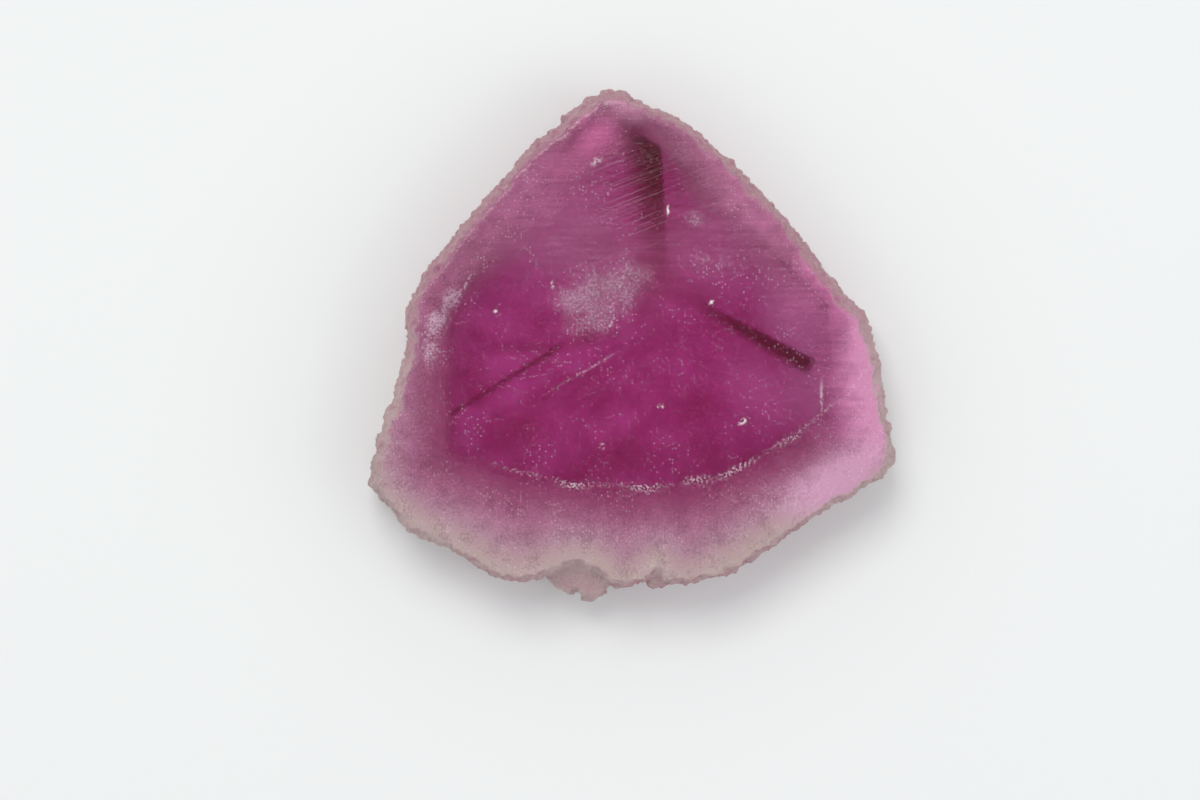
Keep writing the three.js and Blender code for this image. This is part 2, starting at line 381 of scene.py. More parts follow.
PATCHES: dict[PatchKind, tuple[Patch, ...]] = {
    PatchKind.GLOW: (
        Patch((-1.6, 2.9), (2.8, 2.2), 30.0, 0.6, ROSE),
        Patch((-2.9, 1.4), (1.6, 1.4), 0.0, 0.6, ROSE),
        Patch((2.3, 2.5), (2.2, 1.6), -40.0, 0.55, ROSE),
        Patch((-0.75, 5.25), (1.5, 1.0), 30.0, 0.95, HOT),
        Patch((-1.7, 4.5), (1.5, 0.8), 30.0, 0.8, HOT),
        Patch((-3.1, -0.36), (1.3, 0.42), 30.0, 0.7, ROSE),
        Patch((-2.7, -1.05), (1.3, 0.4), 30.0, 0.6, ROSE),
        Patch((3.2, -1.1), (1.9, 1.3), -40.0, 0.9, ROSE),
        Patch((4.0, 0.65), (1.5, 1.1), -40.0, 0.8, PINK),
        Patch((4.5, -0.7), (1.0, 2.0), 10.0, 0.6, PINK),
        Patch((5.5, -0.8), (1.0, 2.2), 0.0, 0.4, PINK),
        Patch((5.4, -2.5), (1.7, 1.1), 30.0, 0.5, LILAC),
        Patch((0.1, -2.85), (4.0, 0.75), 0.0, 0.5, MAROON),
        Patch((-3.0, -2.2), (1.6, 0.7), 0.0, 0.6, MAROON),
        Patch((-2.7, -0.03), (1.3, 0.25), 0.0, 0.5, WINE),
    ),
    PatchKind.BLUSH: (
        Patch((-2.8, 3.4), (4.6, 1.0), 49.0, 0.32, MAUVE_MILK),
        Patch((2.9, 3.25), (4.4, 1.1), -48.0, 0.45, MAUVE_MILK),
        Patch((-1.9, 3.4), (2.6, 1.8), 40.0, 0.26, ROSE_MILK),
        Patch((2.2, 2.5), (2.2, 1.6), -40.0, 0.2, ROSE_MILK),
        Patch((-0.4, 6.0), (1.5, 0.8), 0.0, 0.42, PALE_MILK),
        Patch((-0.85, 5.2), (1.0, 0.8), 40.0, 0.5, HOT_MILK),
        Patch((-1.6, 4.6), (1.2, 0.6), 30.0, 0.22, HOT_MILK),
        Patch((4.2, 1.0), (1.7, 1.4), -40.0, 0.4, ROSE_MILK),
        Patch((3.3, -1.1), (1.9, 1.2), -40.0, 0.14, ROSE_MILK),
        Patch((5.0, -0.8), (1.6, 2.2), 0.0, 0.3, ROSE_MILK),
        Patch((5.8, -0.7), (1.0, 2.6), 0.0, 0.5, RIM_MILK),
        Patch((5.0, -3.3), (2.6, 1.1), 33.0, 0.16, LILAC_MILK),
        Patch((-0.5, 2.0), (3.4, 2.4), 0.0, 0.1, VEIL_MILK),
    ),
    PatchKind.HAZE: (
        Patch((-0.8, 1.2), (2.3, 1.6), 30.0, 0.4),
        Patch((-1.6, 1.18), (0.8, 0.5), 0.0, 0.22),
        Patch((-1.1, 0.45), (0.9, 0.6), 0.0, 0.16),
        Patch((0.2, 1.75), (0.7, 0.5), 0.0, 0.16),
        Patch((-5.05, 0.0), (0.6, 1.1), 0.0, 0.3),
        Patch((-4.5, 1.2), (1.1, 0.55), 60.0, 0.3),
        Patch((-4.75, 0.6), (0.6, 0.6), 0.0, 0.25),
        Patch((1.55, 3.15), (0.6, 0.45), 0.0, 0.34),
        Patch((2.2, 2.1), (1.6, 0.7), 0.0, 0.24),
        Patch((-2.66, -2.05), (0.5, 0.35), 0.0, 0.22),
    ),
    PatchKind.CRUST: (
        Patch((-1.49, -3.45), (0.7, 0.5), 0.0, 1.0),
        Patch((0.31, -3.52), (0.7, 0.5), 0.0, 1.0),
        Patch((1.59, -3.4), (0.5, 0.5), 0.0, 1.0),
        Patch((2.56, -3.05), (0.9, 0.6), 30.0, 1.0),
        Patch((4.0, -2.3), (0.9, 0.5), 30.0, 0.7),
    ),
    PatchKind.SCRATCH: (
        Patch((0.3, 3.9), (2.6, 2.0), 0.0, 0.14),
    ),
    PatchKind.LUMP: (
        Patch((-1.45, -6.1), (1.2, 1.0), 0.0, 1.0),
    ),
    PatchKind.FLECK: (
        Patch((2.74, -1.88), (0.22, 0.1), 30.0, 1.0),
        Patch((0.88, 3.37), (0.06, 0.2), 0.0, 1.0),
        Patch((0.69, -1.52), (0.12, 0.1), 0.0, 0.9),
        Patch((-0.76, -2.5), (0.11, 0.11), 0.0, 0.9),
        Patch((1.96, 1.08), (0.12, 0.08), 30.0, 0.9),
        Patch((-3.41, 0.85), (0.1, 0.07), 30.0, 0.8),
        Patch((-1.99, 1.52), (0.08, 0.14), 0.0, 0.8),
        Patch((-0.9, 4.58), (0.25, 0.15), 30.0, 0.5),
        Patch((-1.14, -0.6), (1.3, 0.05), 30.0, 0.35),
        Patch((-0.54, 0.55), (0.4, 0.06), 60.0, 0.35),
        Patch((4.69, -1.25), (0.07, 0.6), 0.0, 0.4),
        Patch((-4.22, 1.4), (0.65, 0.06), 60.0, 0.4),
    ),
}
COLOURED = (PatchKind.GLOW, PatchKind.BLUSH)


def layered(points: np.ndarray, kind: PatchKind) -> tuple[np.ndarray, np.ndarray]:
    """Lays the patches of one kind over each other.

    Args:
        points: Places in plan, one row each.
        kind: Which patches.

    Returns:
        The colour at each place, and how much of the ground it covers, from 0 to 1.
    """
    colours = np.zeros((len(points), 3))
    cover = np.zeros(len(points))
    for patch in PATCHES[kind]:
        share = patch.strengths(points)
        colours += share[:, None] * (np.array(patch.colour[:3]) - colours)
        cover += share * (1.0 - cover)
    return colours / np.maximum(cover, COVER_LEAST)[:, None], cover


@dataclass(frozen=True)
class Plan:
    """Where a shader is on the slice, and the noise there.

    Attributes:
        flat: The place in plan.
        skin: 1 on the skin and 0 on the sawn faces.
        inside: How far the place is in the deep-coloured core, from 0 to 1.
        lower: The distance below the core's lower edge.
        outward: 0 at the core's edge and up to 1 at the rim, as far as the rind is milky.
        clouds: Broad noise.
        puffs: Middling noise.
        crumbs: Fine noise.
        grit: The finest noise.
        strokes: Noise in long level strokes.
    """

    flat: Socket
    skin: Number
    inside: Number
    lower: Number
    outward: Number
    clouds: Number
    puffs: Number
    crumbs: Number
    grit: Number
    strokes: Number


@dataclass(frozen=True)
class CoreEdge:
    """A straight edge of the core: a point on it, its way out in degrees, and how soft it is."""

    through: Point
    heading: float
    softness: float


@dataclass(frozen=True)
class CoreOutline:
    """The deep-coloured core's outline, how milky the rind is from there to the rim, and the noise.

    Attributes:
        edges: The core's straight edges.
        lowest: The lowest point of its curved lower edge.
        rises: How fast that edge rises to the left and to the right, per millimetre.
        softness: How soft it is.
        bend: Noise that bends the outline.
        bend_reach: How far.
        veil_least: The milky veil at the top, as a share of the veil at the bottom.
        veil_rises: Spans of height in which it grows downwards, and how much.
        rim_least: A small length that keeps the rim's share finite.
        clouds: The broad noise.
        puffs: The middling noise.
        crumbs: The fine noise.
        grit: The finest noise.
        strokes: The noise in strokes.
        stroke_size: Length and width of a stroke.
    """

    edges: tuple[CoreEdge, ...] = (
        CoreEdge((-4.44, 0.0), 180.0, 0.12),
        CoreEdge((4.68, -1.0), -4.0, 0.45),
        CoreEdge((-3.2, 2.56), 145.0, 0.4),
        CoreEdge((2.6, 3.0), 48.0, 0.5),
        CoreEdge((0.25, 5.5), 57.0, 0.14),
    )
    lowest: Point = (0.2, -3.5)
    rises: Point = (0.044, 0.09)
    softness: float = 0.05
    bend: Noise = Noise(1.5)
    bend_reach: float = 0.2
    veil_least: float = 0.3
    veil_rises: tuple[tuple[Span, float], ...] = (((3.0, 0.6), 0.2), ((-0.8, -4.6), 0.5))
    rim_least: float = 0.02
    clouds: Noise = Noise(0.9, 1.0)
    puffs: Noise = Noise(2.2, 2.0)
    crumbs: Noise = Noise(11.0, 1.0, 0.7)
    grit: Noise = Noise(17.0)
    strokes: Noise = Noise(1.0, 2.0)
    stroke_size: Point = (1.5, 0.1)

    def plan(self, sheet: ShaderSheet) -> Plan:
        """Works out where a shader is on the slice.

        Args:
            sheet: The node sheet.

        Returns:
            The place in several forms, with the noise there.
        """
        place = sheet.node("ShaderNodeTexCoord").outputs["Object"]
        flat = sheet.vector("MULTIPLY", {0: place, 1: (1.0 / MM, 1.0 / MM, 0.0)})
        bent = sheet.frayed(flat, self.bend, self.bend_reach)
        across, up = sheet.parts(bent)
        left = (across - self.lowest[0]).least(0.0)
        right = (across - self.lowest[0]).most(0.0)
        lower = self.lowest[1] + left * left * self.rises[0] + right * right * self.rises[1] - up
        inside = lower.ease((self.softness, -self.softness))
        out = lower.most(0.0)
        for edge in self.edges:
            past, _ = sheet.parts(sheet.placed(bent, edge.through, edge.heading))
            inside = inside * past.ease((edge.softness, -edge.softness))
            out = out.most(past)
        veil = sum((up.ease(span, share) for span, share in self.veil_rises), self.veil_least)
        return Plan(
            flat=flat,
            skin=sheet.stored("skin"),
            inside=inside,
            lower=lower,
            outward=out / (out + sheet.stored("rim") + self.rim_least) * veil,
            clouds=sheet.noise(flat, self.clouds),
            puffs=sheet.noise(flat, self.puffs),
            crumbs=sheet.noise(flat, self.crumbs),
            grit=sheet.noise(flat, self.grit),
            strokes=sheet.noise(sheet.placed(flat, (0.0, 0.0), 0.0, self.stroke_size), self.strokes),
        )


@dataclass(frozen=True)
class Seam:
    """A dark growth seam that runs outwards in the crystal.

    Attributes:
        inner: Where it starts.
        outer: Where it ends.
        halves: Half its width at the two ends.
        soft: How soft its left and right edges are, going outwards.
        full: The share of its length where it reaches full strength.
        slant: How much further its left edge reaches at its end, per millimetre.
        strength: How strong it is, from 0 to 1.
    """

    inner: Point
    outer: Point
    halves: Span
    soft: Span
    full: float
    slant: float
    strength: float

    def darkness(self, sheet: ShaderSheet, flat: Socket, rag: Number) -> Number:
        """How dark the seam makes a place.

        Args:
            sheet: The node sheet.
            flat: The place in plan.
            rag: How far its edges are moved there.

        Returns:
            A number from 0 to 1.
        """
        run = Vector(self.outer) - Vector(self.inner)
        turn = math.degrees(math.atan2(run.y, run.x))
        along, aside = sheet.parts(sheet.placed(flat, self.inner, turn))
        half = along * ((self.halves[1] - self.halves[0]) / run.length) + self.halves[0] + rag
        left = (half - aside).ease((-self.soft[0], self.soft[0]))
        right = (half + aside).ease((-self.soft[1], self.soft[1]))
        end = run.length + aside * self.slant - along + rag
        growth = along.ease((0.0, self.full * run.length), self.strength)
        return left * right * growth * end.ease((-self.soft[1], self.soft[1]))


@dataclass(frozen=True)
class GrowthLines:
    """Lighter and darker growth lines in the core: a fan below, and near-level lines above.

    Attributes:
        centre: Where the fan's lines meet.
        waves: The fan's waves to a radian and to a millimetre outwards.
        start: Distances from its centre between which the fan appears.
        right: Places across between which it fades to the right.
        change: Heights between which the fan gives way to them.
        pattern: The fan's noise.
        shares: How much the fan, the level lines and the broad clouds count.
        depth: The span of height in that mix that goes from the darkest to the lightest crystal.
        seams: The dark seams.
        seam_rag: How far fine noise moves their edges.
        seam_least: How strong a seam is where the crystal is dark anyway.
    """

    centre: Point = (1.7, 0.9)
    waves: Point = (5.1, 0.5)
    start: Span = (0.4, 3.0)
    right: Span = (1.6, -0.4)
    change: Span = (1.0, 2.4)
    pattern: Noise = Noise(1.0, 2.0)
    shares: tuple[float, float, float] = (0.5, 1.0, 0.4)
    depth: Span = (0.02, 0.38)
    seams: tuple[Seam, ...] = (
        Seam((0.66, 1.2), (0.34, 5.16), (0.25, 0.36), (0.4, 0.05), 0.85, 0.69, 1.0),
        Seam((1.1, 1.34), (4.45, -0.53), (0.08, 0.2), (0.05, 0.16), 0.5, 0.0, 0.95),
        Seam((-1.45, 0.22), (-4.52, -1.7), (0.07, 0.045), (0.05, 0.05), 0.2, 0.0, 0.7),
    )
    seam_rag: float = 0.12
    seam_least: float = 0.88

    def lightness(self, sheet: ShaderSheet, plan: Plan) -> Number:
        """How light the core's crystal is.

        Args:
            sheet: The node sheet.
            plan: Where the shader is.

        Returns:
            A number from 0 to 1.
        """
        across, up = sheet.parts(plan.flat)
        aside = across - self.centre[0]
        above = up - self.centre[1]
        angle = sheet.number("ShaderNodeMath", {"operation": "ARCTAN2"}, {0: above, 1: aside})
        reach = sheet.measure("LENGTH", {0: sheet.placed(plan.flat, self.centre)})
        polar = sheet.node("ShaderNodeCombineXYZ", None, {0: angle * self.waves[0], 1: reach * self.waves[1]})
        fan = sheet.noise(polar.outputs[0], self.pattern) - NOISE_MIDDLE
        fan = fan * reach.ease(self.start, self.shares[0]) * across.ease(self.right)
        level = plan.strokes - NOISE_MIDDLE
        lines = fan + (level * self.shares[1] - fan) * up.ease(self.change)
        return (lines + plan.clouds * self.shares[2]).ease(self.depth)

    def darkness(self, sheet: ShaderSheet, plan: Plan, light: Number) -> Number:
        """How dark the seams make a place.

        Args:
            sheet: The node sheet.
            plan: Where the shader is.
            light: How light the crystal is there.

        Returns:
            A number from 0 to 1.
        """
        rag = (plan.crumbs - NOISE_MIDDLE) * self.seam_rag
        first, *others = [seam.darkness(sheet, plan.flat, rag) for seam in self.seams]
        for other in others:
            first = first.most(other)
        return first * (self.seam_least + light * (1.0 - self.seam_least))


@dataclass(frozen=True)
class MilkyCrystal:
    """The milky crystal: a veil that thickens to the rim, smooth patches and grainy frost.

    Attributes:
        stops: Its colours from the core's edge to the rim.
        faint: How milky the clearest crystal is.
        start: The span outwards in which the veil begins.
        rise: The span outwards in which it thickens.
        veil: How even the veil is: plain, and by middling and by finest noise.
        blush: How even the smooth patches are: plain, and by middling noise and strokes.
        blush_full: The strength of a smooth patch where the milk has its colour.
        frost: Colour of the frosty patches.
        frosty: How much the patch, middling noise and fine noise count for where frost gathers.
        gathered: The heights in that mix between which it gathers, and how thick it gets.
        gritty: How even it is: plain, and by the finest noise.
        frost_full: How frosty a place is where the frost has its own colour.
    """

    stops: tuple[tuple[float, Colour], ...] = (
        (0.0, tint(206, 106, 160)),
        (0.2, tint(196, 108, 154)),
        (0.45, tint(182, 114, 150)),
        (0.7, tint(171, 128, 147)),
        (0.87, tint(178, 149, 154)),
        (1.0, tint(183, 161, 158)),
    )
    faint: float = 0.006
    start: Span = (0.0, 0.12)
    rise: Span = (-0.15, 0.9)
    veil: tuple[float, float, float] = (0.45, 0.7, 0.4)
    blush: tuple[float, float, float] = (0.3, 0.6, 0.8)
    blush_full: float = 0.15
    frost: Colour = tint(214, 178, 200)
    frosty: tuple[float, float, float] = (2.0, 0.6, 0.4)
    gathered: tuple[Span, float] = ((0.66, 1.7), 0.34)
    gritty: Point = (0.3, 1.3)
    frost_full: float = 0.2

    def milk(self, sheet: ShaderSheet, plan: Plan) -> tuple[Socket, Number]:
        """Works out the milky crystal.

        Args:
            sheet: The node sheet.
            plan: Where the shader is.

        Returns:
            Its colour, and how milky a place is from 0 to 1.
        """
        veil = self.veil[0] + plan.puffs * self.veil[1] + plan.grit * self.veil[2]
        milky = self.faint + plan.outward.ease(self.rise) * veil * plan.outward.ease(self.start)
        milk = sheet.node("ShaderNodeValToRGB", {"stops": self.stops}, {0: plan.outward}).outputs[0]
        blush = sheet.stored("blush")
        milk = sheet.mixed(blush.ease((0.0, self.blush_full)), milk, sheet.stored_colour("blush_colour"))
        milky = milky + blush * (self.blush[0] + plan.puffs * self.blush[1] + plan.strokes * self.blush[2])
        haze = sheet.stored("haze") * self.frosty[0]
        haze = haze + plan.puffs * self.frosty[1] + plan.crumbs * self.frosty[2]
        frost = haze.ease(*self.gathered) * (self.gritty[0] + plan.grit * self.gritty[1])
        milk = sheet.mixed(frost.ease((0.0, self.frost_full)), milk, self.frost)
        return milk, (milky + frost).least(1.0)


@dataclass(frozen=True)
class BrightFlecks:
    """Bright flecks in the polished face: dust, wisps, crumbs in the core's edge, and scratches.

    Attributes:
        colour: Their colour.
        crowds: The broad noise heights between which flecks crowd.
        dust_scale: Cells to a millimetre, of which each holds at most one grain of dust.
        dust_radii: Outer and full radius of a grain, as shares of its cell.
        dust_share: What share of the cells has a grain.
        dust: How strong the dust is: plain, in crowds, in the rind and in haze.
        wisp_heights: Half the span of middling noise heights that the wisps follow.
        wisps: How strong the wisps are: plain and in the rind.
        broken: The fine noise heights that break up small marks.
        ragged: How far fine noise moves the marks in the core's lower edge.
        thread: Half width and strength of the thin line there.
        crust: Reach above and below that edge, and strength, of the crumbs.
        core_left: Places across between which both begin.
        scratch_turn: The scratches' way, in degrees.
        scratch_size: Length and width of a scratch.
        scratch_heights: The noise heights that are scratches.
        scratch: Their noise.
    """

    colour: Colour = tint(246, 232, 238)
    crowds: Span = (0.38, 0.68)
    dust_scale: float = 13.0
    dust_radii: Span = (0.45, 0.05)
    dust_share: float = 0.5
    dust: tuple[float, float, float, float] = (0.07, 0.18, 0.05, 0.2)
    wisp_heights: float = 0.02
    wisps: Point = (0.02, 0.2)
    broken: Span = (0.4, 0.6)
    ragged: float = 0.3
    thread: Point = (0.06, 0.2)
    crust: tuple[float, float, float] = (0.08, 0.26, 0.45)
    core_left: Span = (-4.0, -3.2)
    scratch_turn: float = 22.0
    scratch_size: Point = (2.4, 0.022)
    scratch_heights: Span = (0.62, 0.76)
    scratch: Noise = Noise(1.0)

    def strength(self, sheet: ShaderSheet, plan: Plan) -> Number:
        """How strong the flecks are at a place.

        Args:
            sheet: The node sheet.
            plan: Where the shader is.

        Returns:
            A number from 0 to 1.
        """
        crowd = plan.clouds.ease(self.crowds)
        thickness = self.dust[0] + crowd * self.dust[1] + plan.outward * self.dust[2]
        thickness = thickness + sheet.stored("haze") * self.dust[3]
        flecks = sheet.dots(plan.flat, self.dust_scale, self.dust_radii, self.dust_share) * thickness
        flecks = flecks.most(self._wisps(plan) * crowd)
        flecks = flecks.most(self._edge_crumbs(sheet, plan))
        hatch = sheet.placed(plan.flat, (0.0, 0.0), self.scratch_turn, self.scratch_size)
        scratches = sheet.noise(hatch, self.scratch).ease(self.scratch_heights)
        flecks = flecks.most(scratches * sheet.stored("scratch"))
        flecks = flecks.most(self._larger(sheet, plan) * plan.crumbs.ease(self.broken))
        return flecks * (1.0 - plan.skin)

    @staticmethod
    def _larger(sheet: ShaderSheet, plan: Plan) -> Number:
        """The larger flecks, each in its place."""
        first, *others = [patch.shaded(sheet, plan.flat) for patch in PATCHES[PatchKind.FLECK]]
        for other in others:
            first = first.most(other)
        return first

    def _wisps(self, plan: Plan) -> Number:
        """Thin pale curls, mostly in the rind."""
        rising = plan.puffs.ease((NOISE_MIDDLE - self.wisp_heights, NOISE_MIDDLE))
        falling = plan.puffs.ease((NOISE_MIDDLE + self.wisp_heights, NOISE_MIDDLE))
        return rising * falling * (self.wisps[0] + plan.outward * self.wisps[1])

    def _edge_crumbs(self, sheet: ShaderSheet, plan: Plan) -> Number:
        """A thin broken line along the core's lower edge, with crumbs beside it."""
        half, thin = self.thread
        above, below, thick = self.crust
        lower = plan.lower + (plan.crumbs - NOISE_MIDDLE) * self.ragged
        thread = lower.ease((-half, 0.0)) * lower.ease((half, 0.0), thin)
        crust = lower.ease((-above, 0.0)) * lower.ease((below, 0.0), thick)
        across, _ = sheet.parts(plan.flat)
        edge = thread.most(crust * sheet.stored("crust")) * across.ease(self.core_left)
        return edge * plan.grit.ease(self.broken)


@dataclass(frozen=True)
class RoughSkin:
    """The rough pale skin round the slice, with painted shade and pink light along its lower edge.

    Attributes:
        mauve: Its colour along the upper sides.
        pale: Its colour along the lower sides.
        pink: Its stains.
        flank: Its colour where it is steepest.
        painted_low_flank_light: Painted shade and pink light carried through the crystal from the core, which
            the steepest part takes along the lower side.
        downwards: Heights on the slice between which it turns pale.
        stain_shares: How much middling and fine noise count for where it is stained.
        stained: The heights in that mix between which it is stained.
        painted_light_heights: Heights on the slice between which its steepest part takes that painted shade
            and pink light.
        painted_light_left: Places across between which that painted light begins.
        lump_edge: How much of a lump's strength keeps that painted light off.
        flank_share: How much of its colour the steepest part takes at most.
        cover: How much of the crystal's clear and milky colours it covers.
        milky: How milky it is.
    """

    mauve: Colour = tint(196, 148, 162)
    pale: Colour = tint(214, 190, 188)
    pink: Colour = tint(196, 156, 164)
    flank: Colour = tint(216, 198, 188)
    # Painted shade and pink light carried from the core, not a colour of the skin: taken by the steepest part
    # along the lower side.
    painted_low_flank_light: Colour = tint(182, 92, 126)
    downwards: Span = (2.0, -1.0)
    stain_shares: Point = (0.6, 0.4)
    stained: Span = (0.4, 0.75)
    painted_light_heights: Span = (-3.0, -4.4)
    painted_light_left: Span = (-4.8, -3.8)
    lump_edge: Span = (0.0, 0.3)
    flank_share: float = 0.9
    cover: Point = (0.8, 0.9)
    milky: float = 0.7

    def laid_over(self, sheet: ShaderSheet, plan: Plan, clear: Socket, milk: Socket, milky: Number
                  ) -> tuple[Socket, Socket, Number]:
        """Lays the skin over the crystal, with painted shade and pink light along the lower edge.

        Args:
            sheet: The node sheet.
            plan: Where the shader is.
            clear: The clear crystal's colour.
            milk: The milky crystal's colour.
            milky: How milky the crystal is.

        Returns:
            The same three with the skin.
        """
        across, up = sheet.parts(plan.flat)
        # Where the steepest part of the lower side takes the painted shade and pink light.
        painted_low_light = up.ease(self.painted_light_heights) * across.ease(self.painted_light_left)
        painted_low_light = painted_low_light * (1.0 - sheet.stored("lump").ease(self.lump_edge))
        stains = plan.puffs * self.stain_shares[0] + plan.crumbs * self.stain_shares[1]
        hide = sheet.mixed(up.ease(self.downwards), self.mauve, self.pale)
        hide = sheet.mixed(stains.ease(self.stained), hide, self.pink)
        # The steepest part gets its own pale colour, or the painted shade and pink light along the lower
        # side.
        flank = sheet.mixed(painted_low_light, self.flank, self.painted_low_flank_light)
        hide = sheet.mixed(sheet.stored("flank") * self.flank_share, hide, flank)
        clear = sheet.mixed(plan.skin * self.cover[0], clear, hide)
        milk = sheet.mixed(plan.skin * self.cover[1], milk, hide)
        return clear, milk, milky + plan.skin * (self.milky - milky)


@dataclass(frozen=True)
class CrystalFinish:
    """The stone's one material: clear crystal, and milky where it is hazy, flawed or skin.

    Attributes:
        name: The material's name.
        refraction: Index of refraction.
        clearness: Transmission of the clear crystal.
        gloss: Specular level.
        depth_tint: Colour that light takes on with depth.
        depth_density: How fast it does, per metre.
        core: The core's clear colour, where it is lightest.
        core_dark: The same where it is darkest.
        seam: The growth seams' colour.
        outer: Clear colour just outside the core.
        outer_rim: Clear colour at the rim.
        seam_clear: How much a seam keeps milk off.
        rough: Roughness: plain, on the skin, by the finest noise, and where milky.
        relief: Height of the finest relief on the sawn faces, and how much more the skin has.
        relief_depth: Depth of the relief.
        relief_strength: Its strength.
        outline: The core's outline, and the noise on the slice.
        lines: The growth lines and seams.
        milk: The milky crystal.
        flecks: The bright flecks.
        skin: The rough skin.
    """

    name: str = "tourmaline"
    refraction: float = 1.63
    clearness: float = 1.0
    gloss: float = 0.3
    depth_tint: Colour = (0.92, 0.5, 0.74, 1.0)
    depth_density: float = 40.0
    core: Colour = tint(246, 138, 214)
    core_dark: Colour = tint(220, 94, 174)
    seam: Colour = tint(164, 26, 92)
    outer: Colour = tint(232, 126, 192)
    outer_rim: Colour = tint(238, 180, 212)
    seam_clear: float = 0.97
    rough: tuple[float, float, float, float] = (0.14, 0.3, 0.1, 0.15)
    relief: Point = (0.25, 0.75)
    relief_depth: float = 0.04
    relief_strength: float = 0.35
    outline: CoreOutline = CoreOutline()
    lines: GrowthLines = GrowthLines()
    milk: MilkyCrystal = MilkyCrystal()
    flecks: BrightFlecks = BrightFlecks()
    skin: RoughSkin = RoughSkin()

    def material(self) -> bpy.types.Material:
        """Builds the material.

        Returns:
            The finished material.
        """
        made = bpy.data.materials.new(self.name)
        sheet = ShaderSheet(made)
        plan = self.outline.plan(sheet)
        light = self.lines.lightness(sheet, plan)
        seams = self.lines.darkness(sheet, plan, light)
        clear = self._clear_colour(sheet, plan, light, seams)
        milk, milky = self.milk.milk(sheet, plan)
        milky = milky * (1.0 - seams * self.seam_clear)
        clear, milk, milky = self.skin.laid_over(sheet, plan, clear, milk, milky)
        flecks = self.flecks.strength(sheet, plan)
        cloudy = milky + flecks * (1.0 - milky)
        milk = sheet.mixed(flecks / cloudy, milk, self.flecks.colour)
        self._shaders(sheet, plan, clear, milk, cloudy)
        return made

    def _clear_colour(self, sheet: ShaderSheet, plan: Plan, light: Number, seams: Number) -> Socket:
        """The clear crystal's colour.

        Args:
            sheet: The node sheet.
            plan: Where the shader is.
            light: How light the core is there.
            seams: How dark the seams make it.

        Returns:
            The colour, with the core, the rind, the glowing patches and the seams.
        """
        core = sheet.mixed(light, self.core_dark, self.core)
        outer = sheet.mixed(plan.outward, self.outer, self.outer_rim)
        colour = sheet.mixed(plan.inside, outer, core)
        colour = sheet.mixed(sheet.stored("glow"), colour, sheet.stored_colour("glow_colour"))
        return sheet.mixed(seams, colour, self.seam)

    def _shaders(self, sheet: ShaderSheet, plan: Plan, clear: Socket, milk: Socket, milky: Number) -> None:
        """Adds the clear and the milky shader, their mix, and the tint that grows with depth.

        Args:
            sheet: The node sheet.
            plan: Where the shader is.
            clear: The clear crystal's colour.
            milk: The milky crystal's colour.
            milky: How milky it is.
        """
        normal = sheet.node("ShaderNodeBump", None, {
            "Height": plan.grit * (self.relief[0] + plan.skin * self.relief[1]),
            "Strength": self.relief_strength,
            "Distance": self.relief_depth * MM,
        }).outputs[0]
        rough = self.rough[0] + plan.skin * self.rough[1] + plan.grit * self.rough[2]
        common = {"IOR": self.refraction, "Specular IOR Level": self.gloss, "Normal": normal}
        glassy = sheet.node("ShaderNodeBsdfPrincipled", None, {
            "Base Color": clear,
            "Roughness": rough,
            "Transmission Weight": self.clearness,
            **common,
        })
        cloudy = sheet.node("ShaderNodeBsdfPrincipled", None, {
            "Base Color": milk,
            "Roughness": rough + self.rough[3],
            **common,
        })
        shaders = {0: milky, 1: glassy.outputs[0], 2: cloudy.outputs[0]}
        surface = sheet.node("ShaderNodeMixShader", None, shaders)
        tinting = {"Color": self.depth_tint, "Density": self.depth_density}
        depth = sheet.node("ShaderNodeVolumeAbsorption", None, tinting)
        outputs = {"Surface": surface.outputs[0], "Volume": depth.outputs[0]}
        sheet.node("ShaderNodeOutputMaterial", None, outputs)


@dataclass(frozen=True)
class SkinRelief:
    """One layer of the skin's roughness: name, size of its grains, stretch along Z, height, octaves."""

    name: str
    grain: float
    stretch: float
    height: float
    octaves: int


